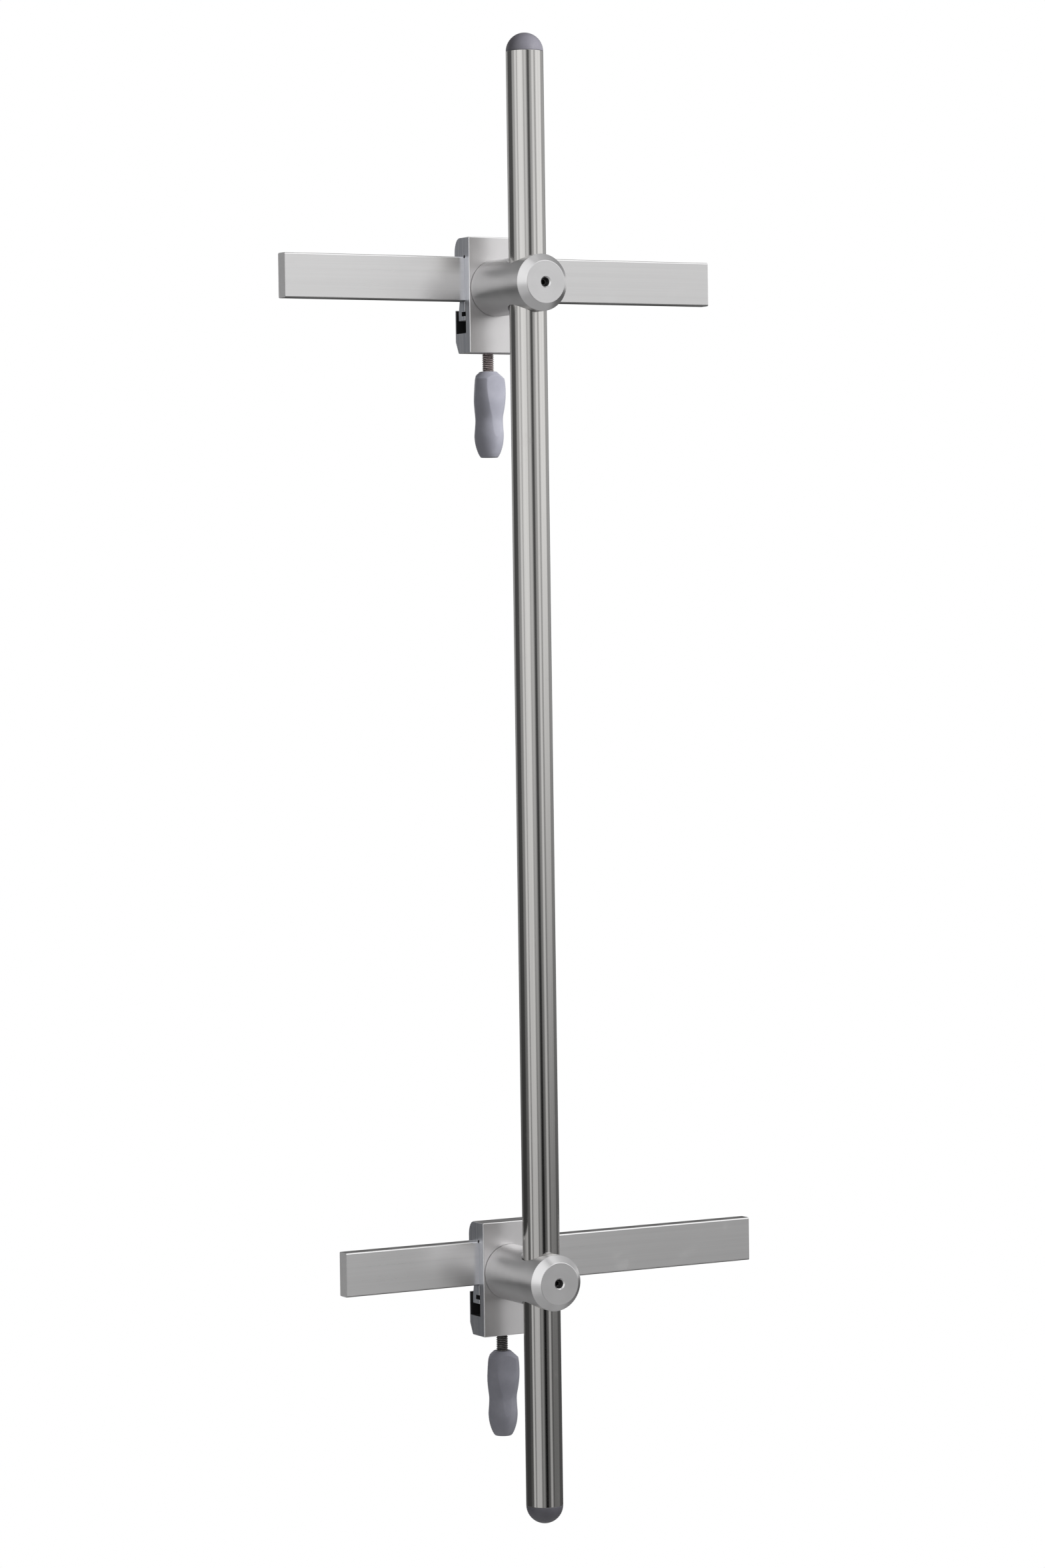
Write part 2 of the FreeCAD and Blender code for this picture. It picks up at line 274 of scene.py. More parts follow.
class Finish:
    """A node tree with one method that adds any node: its type, its settings, then its sockets."""

    def __init__(self, tree):
        self.tree = tree
        self.tree.nodes.clear()

    def add(self, kind, settings=(), sockets=()):
        node = self.tree.nodes.new(kind)
        for key, value in dict(settings).items():
            if key == "stops":
                self.set_stops(node.color_ramp, value)
            else:
                setattr(node, key, value)
        for key, value in dict(sockets).items():
            if isinstance(value, Value):
                self.tree.links.new(value.socket, node.inputs[key])
            else:
                node.inputs[key].default_value = value
        return [Value(self, socket) for socket in node.outputs]

    def set_stops(self, ramp, stops):
        """Give a ramp its stops: pairs of a place from 0 to 1 and a grey or a colour."""
        while len(ramp.elements) < len(stops):
            ramp.elements.new(1)
        for element, (place, shade) in zip(ramp.elements, stops):
            element.position = place
            element.color = (shade, shade, shade, 1) if isinstance(shade, float) else (*shade, 1)

    def mix(self, factor, first, second):
        """From a first colour to a second as a factor goes from 0 to 1."""
        first, second = [c if isinstance(c, Value) else (*c, 1) for c in (first, second)]
        return self.add("ShaderNodeMix", {"data_type": "RGBA"}, {0: factor, 6: first, 7: second})[2]

    def noise(self, place, scale, detail=2.0, roughness=0.5):
        """Smooth noise from 0 to 1."""
        sockets = {"Vector": place, "Scale": scale, "Detail": detail, "Roughness": roughness}
        return self.add("ShaderNodeTexNoise", {}, sockets)[0]

    def stretched(self, place, stretch):
        """A place whose axes are multiplied, so that a pattern is drawn out along the small ones."""
        return self.add("ShaderNodeVectorMath", {"operation": "MULTIPLY"}, {0: place, 1: stretch})[0]

    def axes(self, place):
        """The three numbers of a place."""
        return self.add("ShaderNodeSeparateXYZ", {}, {0: place})

    def joined(self, x, y, z):
        """A place from three numbers."""
        return self.add("ShaderNodeCombineXYZ", {}, {0: x, 1: y, 2: z})[0]


# %% [markdown]
# Every finish of this object starts in the same way: with the place on the piece, counted from a centre
# that the maker names, and the way that the surface faces. It ends in the same way too, with one shader
# and a bump. What is the same all over, such as how far plastic bends light, is set on the shader itself.

# %% Start and end of a finish
def start_finish(name, centre=(0, 0, 0)):
    """A new material with its place on the piece, counted from a centre, and its facing."""
    material = bpy.data.materials.new(name)
    material.use_nodes = True
    finish = Finish(material.node_tree)
    coordinates = finish.add("ShaderNodeTexCoord")
    shift = {"Vector": coordinates[3], "Location": [-v for v in centre]}
    place = finish.add("ShaderNodeMapping", {}, shift)[0]
    return material, finish, place, coordinates[1]


def end_finish(finish, height, depth, constants, **varying):
    """One shader, with a bump from a height in metres and its constants set on its own sockets."""
    bump = finish.add("ShaderNodeBump", {}, {"Height": height, "Distance": depth, "Strength": 1.0})[0]
    sockets = {key.replace("_", " "): value for key, value in varying.items()}
    shader = finish.add("ShaderNodeBsdfPrincipled", {}, {**constants, **sockets, "Normal": bump})[0]
    finish.add("ShaderNodeOutputMaterial", {}, {"Surface": shader})


def worn_edges(finish, facing):
    """1 where a square piece's surface faces between the axes, as on its broken edges."""
    along_x, along_y, along_z = [abs(part) for part in finish.axes(facing)]
    widest = along_x.sum("MAXIMUM", along_x.sum("MAXIMUM", along_x, along_y), along_z)
    return 1 - widest.between(0.80, 0.995)


# %% [markdown]
# ## The ground tube's finish
#
# The tube is stainless steel, ground lengthwise by a belt. The scratches are long and very fine, so they
# hardly blur what the tube mirrors from end to end, but they streak it. Noise that is drawn out a hundred
# times along the tube makes them. A second, coarser noise makes the faint bands where the belt pressed
# harder, and a third breaks the polish with small scuffs, mostly where hands and clamps slide along it.

# %% Ground stainless steel
def ground_steel(name, centre, along, tint, base, grip=1.0, shaded_underside_and_sawn_ends=0.0):
    """Stainless steel ground along one axis (0 is X, 2 is Z), with painted shade on its underside and rougher
    sawn ends.
    """
    material, finish, place, facing = start_finish(name, centre)

    def grain(fine, drawn):
        return finish.stretched(place, [drawn if axis == along else fine for axis in range(3)])

    scratches = finish.noise(grain(5200, 45), 1.0, 3.0, 0.7)
    bands = finish.noise(grain(650, 3.0), 1.0, 2.0, 0.6)
    scuffs = finish.noise(place, 70.0, 4.0, 0.62).between(0.58, 0.74)
    cloud = finish.noise(place, 9.0, 2.0)
    colour = finish.mix(bands.between(0.3, 0.75), [v * (1 - 0.09 * grip) for v in tint],
                        [v * (1 + 0.06 * grip) for v in tint])
    colour = finish.mix(scratches.between(0.62, 0.8) * (0.44 * grip), colour, [v * 0.78 for v in tint])
    across, _, upwards = finish.axes(facing)
    # Downward faces darken to three tenths of the tint: a painted shade on the rails' underside.
    painted_underside_shade = (upwards * -1).between(0.2, 0.6) * shaded_underside_and_sawn_ends
    sawn = abs(across).between(0.7, 0.95) * shaded_underside_and_sawn_ends
    colour = finish.mix(painted_underside_shade, colour, [v * 0.30 for v in tint])
    roughness = base + scratches * 0.05 * grip + bands * 0.05 * grip
    roughness = roughness + scuffs * 0.05 + cloud * 0.03 + sawn * 0.4
    end_finish(finish, scratches + bands * 1.5, 0.0000035 * grip, {"Metallic": 1.0},
               Base_Color=colour, Roughness=roughness)
    return material


tube_finish = ground_steel("ground_tube_steel", pole_axis, 2, (0.62, 0.61, 0.595), 0.07, 0.8)

# %% [markdown]
# ## The tube
#
# A real tube is drawn, cut and deburred. Here a cylinder is given a bore: its end faces are inset by the
# wall, removed, and the two inner rings bridged. The rim gets a small radius, and that radius is what
# draws the thin dark line where the tube meets its cap.

# %% Make the tube
tube_low, tube_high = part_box("pole_tube")
tube_radius = 12.5 * mm
tube_wall = 1.5 * mm


def is_rim(edge, radius):
    """Whether an edge lies on the tube's outer ring at an end."""
    level_edge = abs(edge.verts[0].co.z - edge.verts[1].co.z) < 1e-6
    return level_edge and all(abs((v.co - pole_axis).xy.length - radius) < 0.05 * mm for v in edge.verts)


tube = rod(tube_radius, (pole_axis.x, pole_axis.y, tube_low.z), (pole_axis.x, pole_axis.y, tube_high.z), 160)
edit(tube)
pick(tube, "FACE", lambda face: abs(face.normal.z) > 0.9)
bpy.ops.mesh.inset(thickness=tube_wall, use_individual=True)
bpy.ops.mesh.delete(type="FACE")
print("inner ring edges:", pick(tube, "EDGE", lambda edge: edge.is_boundary))
bpy.ops.mesh.bridge_edge_loops()
pick(tube, "EDGE", lambda edge: is_rim(edge, tube_radius))
bpy.ops.mesh.bevel(offset=0.25 * mm, segments=3, affect="EDGES")
close()
smooth(tube, 40)
settle(tube, "ground_tube", "pole", ["pole_tube"], tube_finish)
bpy.data.objects.remove(tube)

# %% [markdown]
# ## The end caps
#
# Each cap is injection-moulded: a dome that carries on the tube's outside, and a spigot that plugs its
# bore. The plastic is dense and semi-matt, with the faintest orange peel from the mould. It starts as a
# sphere, is bisected at the tube's end, and the flat that leaves is inset by the wall and extruded to
# make the spigot.

# %% Moulded plastic
def moulded_plastic(name, centre, dark, pale, roughness, peel, speck=0.0):
    """Moulded plastic: two close shades clouded together, a fine moulded texture and handling polish."""
    material, finish, place, facing = start_finish(name, centre)
    cloud = finish.noise(place, 55.0, 4.0, 0.6)
    grain = finish.noise(place, 2600.0, 2.0, 0.6)
    texture = finish.noise(place, 900.0, 3.0, 0.6)
    flow = finish.noise(finish.stretched(place, (420, 420, 60)), 1.0, 2.0)
    rubbed = finish.noise(place, 120.0, 3.0).between(0.45, 0.75)
    colour = finish.mix(cloud.between(0.3, 0.7), dark, pale)
    colour = finish.mix(grain.between(0.55, 0.8) * speck, colour, [v * 0.55 for v in dark])
    rough = roughness + texture * 0.10 - rubbed * 0.07 + flow * 0.03
    end_finish(finish, texture + grain * 0.6 + flow * 0.4, peel, {"IOR": 1.49, "Specular IOR Level": 0.5},
               Base_Color=colour, Roughness=rough)
    return material


cap_dark, cap_pale = (0.070, 0.068, 0.080), (0.084, 0.082, 0.095)
cap_finish = moulded_plastic("cap_polyethylene", pole_axis, cap_dark, cap_pale, 0.36, 0.000012)

# %% Make the caps
def is_seat(face):
    """Whether a face is the flat that the bisected sphere leaves at the tube's end."""
    return face.normal.z < -0.99 and abs(face.calc_center_median().z - tube_high.z) < 0.01 * mm


def is_seat_rim(edge):
    """Whether an edge lies on the dome's outer ring, where it meets the tube's end."""
    return is_rim(edge, tube_radius) and abs(edge.verts[0].co.z - tube_high.z) < 0.01 * mm


seat = (pole_axis.x, pole_axis.y, tube_high.z)
spigot_length, spigot_lead, spigot_taper = 13 * mm, 1 * mm, 0.91
spigot_end = (pole_axis.x, pole_axis.y, tube_high.z - spigot_length - spigot_lead)
cap = primitive("uv_sphere", segments=96, ring_count=64, radius=tube_radius, location=seat)
plane_off(cap, seat, (0, 0, -1))
edit(cap)
print("seat faces:", pick(cap, "FACE", is_seat))
bpy.ops.mesh.inset(thickness=tube_wall + 0.02 * mm)
bpy.ops.mesh.extrude_region_move(TRANSFORM_OT_translate={"value": (0, 0, -spigot_length)})
bpy.ops.mesh.extrude_region_move(TRANSFORM_OT_translate={"value": (0, 0, -spigot_lead)})
bpy.ops.transform.resize(value=(spigot_taper, spigot_taper, 1), center_override=spigot_end)
pick(cap, "EDGE", is_seat_rim)
bpy.ops.mesh.bevel(offset=0.3 * mm, segments=3, affect="EDGES")
bpy.ops.mesh.select_all(action="SELECT")
bpy.ops.mesh.normals_make_consistent(inside=False)
close()
smooth(cap, 40)
settle(cap, "top_dome", "pole", ["top_end_cap"], cap_finish)
over = Matrix.Translation(pole_axis) @ Matrix.Rotation(math.pi, 4, "X") @ Matrix.Translation(-pole_axis)
settle(cap, "bottom_dome", "pole", ["bottom_end_cap"], cap_finish, over)
bpy.data.objects.remove(cap)

# %% [markdown]
# ## The rails
#
# The rails are flat bar, drawn with round edges, satin ground along their length and sawn square at the
# ends. A cube is stretched to the bar, its four long edges are rounded with a wide bevel, and its ends
# are only broken with a file, which is a bevel about a quarter as wide.

# %% Make the rails
def is_long(edge):
    """Whether an edge runs along X."""
    ends = edge.verts[1].co - edge.verts[0].co
    return abs(ends.x) > 0.9 * ends.length


rail_edge, rail_burr = 1.1 * mm, 0.25 * mm
rail_tint = (0.83, 0.825, 0.825)
rail_finish = {
    level: ground_steel(level + "_rail_satin", (0, 0, rail_z[level]), 0, rail_tint, 0.25, 0.28, 1.0)
    for level in levels
}
for level in levels:
    rail = bar(*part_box(level + "_rail"))
    edit(rail)
    pick(rail, "EDGE", is_long)
    bpy.ops.mesh.bevel(offset=rail_edge, segments=8, affect="EDGES")
    close()
    break_edges(rail, rail_burr, 60)
    smooth(rail, 35)
    settle(rail, level + "_bar", "rails", [level + "_rail"], rail_finish[level])
    bpy.data.objects.remove(rail)

# %% [markdown]
# ## The clamp blocks
#
# A block is a slice of an aluminium extrusion, so its outline is the same all along X. The front is
# linished with vertical strokes. The two sawn sides show the saw's upright streaks. Clear anodising
# leaves a pale, slightly warm grey, and the broken edges catch the light as thin bright lines, because
# they are burnished.

# %% Linished and anodised aluminium
def linished_aluminium(name, centre, tint, base, depth, shaded_recess):
    """Aluminium with upright strokes on its front, coarser saw streaks on its sides and a rough recess
    darkened by painted shade.
    """
    material, finish, place, facing = start_finish(name, centre)
    side = abs(finish.axes(facing)[0]).between(0.6, 0.9)
    strokes = finish.noise(finish.stretched(place, (3600, 3600, 60)), 1.0, 3.0, 0.65)
    saw = finish.noise(finish.stretched(place, (900, 900, 14)), 1.0, 3.0, 0.7)
    bands = finish.noise(finish.stretched(place, (420, 420, 5)), 1.0, 2.0)
    cloud = finish.noise(place, 45.0, 3.0)
    pits = finish.noise(place, 1500.0, 2.0).between(0.70, 0.82)
    edge = worn_edges(finish, facing)
    painted_recess_shade = 1 - side
    for part, low, high in zip(finish.axes(place)[1:], *shaded_recess):
        painted_recess_shade = painted_recess_shade * part.between(low - 0.2 * mm, low) * (1 - part.between(high, high + 0.2 * mm))
    colour = finish.mix(cloud.between(0.3, 0.7), [v * 0.95 for v in tint], tint)
    sawn = finish.mix(saw.between(0.35, 0.7), [tint[0] * 0.98, tint[1] * 1.01, tint[2] * 1.06],
                      [tint[0] * 0.66, tint[1] * 0.70, tint[2] * 0.76])
    colour = finish.mix(side, colour, sawn)
    colour = finish.mix(pits * 0.5, colour, [v * 0.6 for v in tint])
    colour = finish.mix(edge * 0.8, colour, (0.93, 0.93, 0.93))
    # Painted shade: inside the recess box the colour goes nearly black, where little light gets in.
    colour = finish.mix(painted_recess_shade, colour, (0.09, 0.09, 0.095))
    roughness = base + strokes * 0.10 + bands * 0.08 + side * saw * 0.14 - edge * 0.14 + painted_recess_shade * 0.25
    height = strokes * (1 - side) + side * saw * 3.0 + bands * 1.2 - pits * 2.0
    end_finish(finish, height, depth, {"Metallic": 1.0}, Base_Color=colour, Roughness=roughness)
    return material


# %% [markdown]
# The block starts as one bar. The rounded corner over the hook is planed in many shallow flats, each a
# tangent of the same ellipse, until it reads as a curve. The sloping foot is one more flat. Its edges are
# broken while they are still long and simple. Then the slot for the rail, the channel for the jaw, the
# window behind it and the round holes are cut away.

# %% Make the blocks
corner_depth, corner_height, corner_flats = 7 * mm, 10 * mm, 16
corner_y, corner_z = block_high.y - corner_depth, block_high.z - corner_height
foot_depth, foot_height = 4 * mm, 8 * mm
rail_low, rail_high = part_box("lower_rail")
channel_front, channel_floor = rail_low.y - 0.9 * mm, rail_low.z - 21.5 * mm
lip_front, lip_top = block_high.y - 1.7 * mm, rail_low.z - 5.8 * mm
hook_inside, hook_low = 0.2 * mm, rail_high.z - 8 * mm
wide, far = 30 * mm, 10 * mm
spindle_hole, screw_hole, dowel_hole = 4.05 * mm, 4.02 * mm, 2.02 * mm
screw_head, head_depth, dowel_rise = 7.52 * mm, 3.7 * mm, 12 * mm
dowel_z = holder_z + dowel_rise
# The jaw's channel in each block is coloured nearly black by the finish: painted shade.
channel = ((channel_front, channel_floor - rail_z["lower"]), (lip_front, rail_low.z - rail_z["lower"]))
block_tint = (0.95, 0.935, 0.94)
block_finish = {
    level: linished_aluminium(level + "_block_anodised", (0, 0, rail_z[level]), block_tint, 0.23, 0.000004,
                              channel)
    for level in levels
}

block = bar(block_low, block_high)
for step in range(1, corner_flats):
    turn = math.pi / 2 * step / corner_flats
    point = (0, corner_y + corner_depth * math.sin(turn), corner_z + corner_height * math.cos(turn))
    plane_off(block, point, (0, math.sin(turn) / corner_depth, math.cos(turn) / corner_height))
plane_off(block, (0, block_high.y - foot_depth, block_low.z), (0, foot_height, -foot_depth))
break_edges(block, 0.6 * mm, 40)
cut(
    block,
    bar((-wide, rail_low.y, rail_low.z), (wide, hook_inside, rail_high.z)),
    bar((-wide, rail_low.y + mm, lip_top), (wide, far, hook_low)),
    bar((-wide, channel_front, channel_floor), (wide, lip_front, rail_low.z - 0.9 * mm)),
    bar((-wide, rail_low.y, rail_low.z - 2 * mm), (wide, lip_front, rail_low.z + mm)),
    rod(1.1 * mm, (-wide, rail_low.y, rail_high.z), (wide, rail_low.y, rail_high.z), 32),
    rod(spindle_hole, (0, spindle_axis.y, block_low.z - mm), (0, spindle_axis.y, channel_floor + mm), 64),
    rod(screw_hole, (0, block_low.y - mm, holder_z), (0, rail_low.y + mm, holder_z), 64),
    rod(screw_hole, (0, rail_low.y - head_depth, holder_z), (0, rail_low.y + 0.01 * mm, holder_z), 64,
        screw_head),
    rod(dowel_hole, (0, block_low.y - mm, dowel_z), (0, rail_low.y - 0.5 * mm, dowel_z), 48),
)
smooth(block)
print("block is", [round(v / mm, 1) for v in block.dimensions], "mm, open edges", open_edges(block))
settle_both(block, "block", "clamp", "clamp_block", block_finish)

# %% [markdown]
# ## The pole holders
#
# A holder is turned from round bar on a lathe, then bored across for the tube. Turning leaves rings: fine
# lines round the barrel and round the front face, like the grooves of a record. They spread a highlight
# across the rings and not along them, which is why the front shows a bright bow tie. The bump uses only
# the distance from the axis and the distance along it, so it is the same all the way round.

# %% Turned and anodised aluminium
def turned_aluminium(name, centre, tint, base, depth):
    """Aluminium turned on a lathe about an axis along Y through a centre."""
    material, finish, place, facing = start_finish(name, centre)
    x, y, z = finish.axes(place)
    radius = (x * x + z * z) ** 0.5
    rings = finish.noise(finish.joined(radius * 2600, y * 2600, 0.0), 1.0, 3.0, 0.7)
    feed = finish.noise(finish.joined(radius * 700, y * 700, 4.0), 1.0, 2.0, 0.6)
    bands = finish.noise(finish.joined(radius * 150, y * 150, 9.0), 1.0, 2.0)
    cloud = finish.noise(place, 60.0, 3.0)
    scuffs = finish.noise(place, 260.0, 4.0, 0.7).between(0.66, 0.78)
    colour = finish.mix(cloud.between(0.3, 0.7), [v * 0.95 for v in tint], tint)
    colour = finish.mix(rings.between(0.6, 0.8) * 0.3, colour, [v * 0.8 for v in tint])
    barrel = 1 - abs(finish.axes(facing)[1]).between(0.2, 0.5)
    roughness = base + rings * 0.06 + bands * 0.08 + scuffs * 0.08 + cloud * 0.03 + barrel * 0.07
    end_finish(finish, rings + feed * 2.2 * (3 - 2 * barrel) + bands * 2.0, depth, {"Metallic": 1.0},
               Base_Color=colour, Roughness=roughness)
    return material


holder_tint = (0.80, 0.795, 0.80)
holder_finish = {
    level: turned_aluminium(level + "_holder_turned", (0, 0, holder_z + rise[level].z), holder_tint, 0.22,
                            0.000004)
    for level in levels
}

# %% [markdown]
# The barrel is a rod. Its foot is inset and extruded, which leaves the thin shadow line where it meets
# the block. Its front face is extruded and drawn in to make the chamfer, and the rings at both ends of
# the chamfer are broken. Then the tube's bore, the two wider mouths of that bore, the set screw's hole with
# its countersink, and the holes for the screw and the dowel are cut out.

# %% Make the holders
holder_radius = (holder_high.z - holder_low.z) / 2
chamfer_length, chamfer_in = 5.5 * mm, 4.7 * mm
shoulder_y = holder_low.y + chamfer_length
bore_radius, mouth_slope, lead_in, undercut = 12.6 * mm, 0.34, 2 * mm, 0.6 * mm
mouth = math.sqrt(holder_radius ** 2 - bore_radius ** 2) - 1.4 * mm
lock_hole, screw_reach, dowel_reach = 3.05 * mm, 18.6 * mm, 7 * mm
pole_y = pole_axis.y


def is_front_ring(edge):
    """Whether an edge runs round the holder's front face or round its shoulder."""
    first, second = [vertex.co.y for vertex in edge.verts]
    return abs(first - second) < 0.001 * mm and first < shoulder_y + 0.01 * mm


holder = rod(holder_radius, (0, block_low.y - undercut, holder_z), (0, shoulder_y, holder_z), 192)
edit(holder)
pick(holder, "FACE", lambda face: face.normal.y > 0.99)
bpy.ops.mesh.inset(thickness=undercut)
bpy.ops.mesh.extrude_region_move(TRANSFORM_OT_translate={"value": (0, undercut, 0)})
pick(holder, "FACE", lambda face: face.normal.y < -0.99)
bpy.ops.mesh.extrude_region_move(TRANSFORM_OT_translate={"value": (0, -chamfer_length, 0)})
drawn_in = 1 - chamfer_in / holder_radius
bpy.ops.transform.resize(value=(drawn_in, 1, drawn_in), center_override=(0, holder_low.y, holder_z))
pick(holder, "EDGE", is_front_ring)
bpy.ops.mesh.bevel(offset=0.25 * mm, segments=3, affect="EDGES")
close()
cut(
    holder,
    rod(lock_hole, (0, pole_y, holder_z), (0, holder_low.y - mm, holder_z), 64),
    rod(2.4 * mm, (0, holder_low.y + 1.5 * mm, holder_z), (0, holder_low.y - 0.5 * mm, holder_z), 64,
        4.4 * mm),
    rod(screw_hole, (0, block_low.y - screw_reach, holder_z), (0, block_low.y + mm, holder_z), 64),
    rod(dowel_hole, (0, block_low.y - dowel_reach, dowel_z), (0, block_low.y + mm, dowel_z), 48),
    rod(bore_radius, (0, pole_y, holder_low.z - mm), (0, pole_y, holder_high.z + mm), 160),
)
for side in (-1, 1):
    inner, outer = mouth - lead_in, holder_radius + mm
    narrow, flared = bore_radius - mouth_slope * lead_in, bore_radius + mouth_slope * (outer - mouth)
    start, end = (0, pole_y, holder_z + side * inner), (0, pole_y, holder_z + side * outer)
    cut(holder, rod(narrow, start, end, 160, flared))
smooth(holder, 40)
print("holder is", [round(v / mm, 1) for v in holder.dimensions], "mm, open edges", open_edges(holder))
settle_both(holder, "holder", "clamp", "pole_holder", holder_finish)

# %% [markdown]
# ## The jaws
#
# A jaw is another slice of extrusion that slides up in the channel and presses on the rail from below.
# Its back leans in at the top. It isn't anodised as carefully as the block, so it is a darker, tumbled
# grey. The same finish as the block's is used, with a darker tint and a rougher base.

# %% Make the jaws
jaw_top = jaw_high.z
slot_top, slot_height, slot_depth = jaw_top - 7 * mm, 3 * mm, 4.7 * mm
slot_floor, slot_back = slot_top - slot_height, jaw_low.y + slot_depth
lean_depth, lean_height = 1.5 * mm, 7.5 * mm
jaw_hole, tip_length = 4.08 * mm, 2.9 * mm
# The jaw's slot is coloured nearly black by the jaw's finish: painted shade.
slot = ((jaw_low.y - mm, slot_floor - rail_z["lower"]), (slot_back, slot_top - rail_z["lower"]))
jaw_tint = (0.86, 0.86, 0.87)
jaw_finish = {
    level: linished_aluminium(level + "_jaw_tumbled", (0, 0, rail_z[level]), jaw_tint, 0.34, 0.000008, slot)
    for level in levels
}

jaw = bar(jaw_low, jaw_high)
plane_off(jaw, (0, jaw_high.y, jaw_top - lean_height), (0, lean_height, lean_depth))
break_edges(jaw, 0.3 * mm, 30)
cut(
    jaw,
    bar((-wide, jaw_low.y - mm, slot_floor), (wide, slot_back, slot_top)),
    rod(jaw_hole, (0, spindle_axis.y, jaw_low.z - mm), (0, spindle_axis.y, slot_top + tip_length), 64),
)
smooth(jaw)
settle_both(jaw, "jaw_piece", "jaw", "clamp_jaw", jaw_finish)

# %% [markdown]
# ## The threaded spindles
#
# The thread is rolled, M8 with 1.25 mm from crest to crest, and it shows between the block and the grip.
# One groove's outline is drawn point by point, then the Screw modifier winds it upwards, one pitch for
# each turn, so that each turn's top edge meets the next one's bottom edge. The ragged ends are planed off
# and closed. The neck and the tip, which the jaw hides, are plain rods joined on.

# %% Rolled and oiled steel
def rolled_steel(name, centre, crest, root):
    """Dark rolled steel whose crests are rubbed bright and whose grooves hold old oil."""
    material, finish, place, facing = start_finish(name, centre)
    x, y, z = finish.axes(place)
    crests = ((x * x + y * y) ** 0.5).between(3.35 * mm, 3.95 * mm)
    grime = finish.noise(place, 700.0, 4.0, 0.7)
    smear = finish.noise(finish.stretched(place, (300, 300, 40)), 1.0, 3.0)
    bright = crests * grime.between(0.25, 0.6)
    colour = finish.mix(bright, root, crest)
    roughness = 0.46 - bright * 0.24 + smear * 0.12
    end_finish(finish, grime + smear, 0.000008, {}, Base_Color=colour, Roughness=roughness,
               Metallic=0.55 + bright * 0.45)
    return material


# The upper spindle's crest and root colours are painted about twice as light and pinker than the lower one's:
# lit and shaded copies of one steel, as painted light.
spindle_lit_and_shaded_finish = {
    level: rolled_steel(level + "_spindle_rolled", (0, spindle_axis.y, rail_z[level]), crest, root)
    for level, crest, root in (("lower", (0.40, 0.385, 0.38), (0.030, 0.028, 0.028)),
                               ("upper", (0.78, 0.69, 0.68), (0.085, 0.068, 0.068)))
}

# %% Wind the thread
pitch = 1.25 * mm
crest_radius, root_radius = 4.0 * mm, 3.27 * mm
groove = ((root_radius, 0.0), (root_radius, 0.12), (crest_radius - 0.06 * mm, 0.50), (crest_radius, 0.56),
          (crest_radius, 0.66), (crest_radius - 0.06 * mm, 0.72), (root_radius, 0.97), (root_radius, 1.0))
neck_low, neck_high, neck_radius = slot_floor, slot_top, 2.8 * mm
turns = math.ceil((neck_low - spindle_low.z) / pitch) + 2


def drawn_line(points):
    """A line drawn point by point: one vertex, extruded from each point to the next."""
    line = primitive("plane", size=mm, location=(0, 0, 0))
    edit(line)
    bpy.ops.mesh.merge(type="CENTER")
    bpy.ops.transform.translate(value=points[0])
    for before, after in zip(points, points[1:]):
        step = Vector(after) - Vector(before)
        bpy.ops.mesh.extrude_vertices_move(TRANSFORM_OT_translate={"value": step})
    close()
    return line


thread = drawn_line([(radius, 0, share * pitch) for radius, share in groove])
apply(thread, "SCREW", axis="Z", angle=2 * math.pi, screw_offset=pitch, iterations=turns,
      steps=40, render_steps=40, use_merge_vertices=True, merge_threshold=0.00001, use_normal_calculate=True)
thread.data.transform(Matrix.Translation((0, spindle_axis.y, spindle_low.z - pitch)))
edit(thread)
bpy.ops.mesh.remove_doubles(threshold=0.000005)
close()
plane_off(thread, (0, 0, spindle_low.z), (0, 0, -1))
plane_off(thread, (0, 0, neck_low), (0, 0, 1))
edit(thread)
bpy.ops.mesh.normals_make_consistent(inside=False)
close()
overlap = 0.5 * mm
neck = rod(neck_radius, (0, spindle_axis.y, neck_low - overlap), (0, spindle_axis.y, neck_high + overlap), 48)
tip = rod(crest_radius, (0, spindle_axis.y, neck_high), (0, spindle_axis.y, spindle_high.z), 48)
break_edges(tip, 0.5 * mm)
hold(thread)
for extra in (neck, tip):
    extra.select_set(True)
bpy.ops.object.join()
smooth(thread, 28)
print("thread has", turns - 2, "turns")
settle_both(thread, "thread", "grip", "clamp_spindle", spindle_lit_and_shaded_finish)

# %% [markdown]
# ## The grips
#
# The grip is moulded in glass-filled nylon. It is a turned shape, waisted for the fingers, with three
# long flats that narrow to tongues as they run down it. The outline is drawn and spun round the spindle's
# axis. Each flat is cut by a tool whose face follows its own gentle curve. The mould's edges are soft, so
# at last the grip is remeshed finely and smoothed a little, which gives every ridge the same small
# radius, whatever its angle.

# %% Outline of the grip and of its flats
def faired(points, steps=6):
    """A smooth line through points, with a few steps between each two (a Catmull-Rom curve)."""
    points = [Vector(p) for p in points]
    padded = [2 * points[0] - points[1], *points, 2 * points[-1] - points[-2]]
    line = []
    for a, b, c, d in zip(padded, padded[1:], padded[2:], padded[3:]):
        for step in range(steps):
            t = step / steps
            line.append(b + (c - a) * (t / 2) + (2 * a - 5 * b + 4 * c - d) * (t * t / 2)
                        + (3 * b - a - 3 * c + d) * (t * t * t / 2))
    return line + [points[-1]]


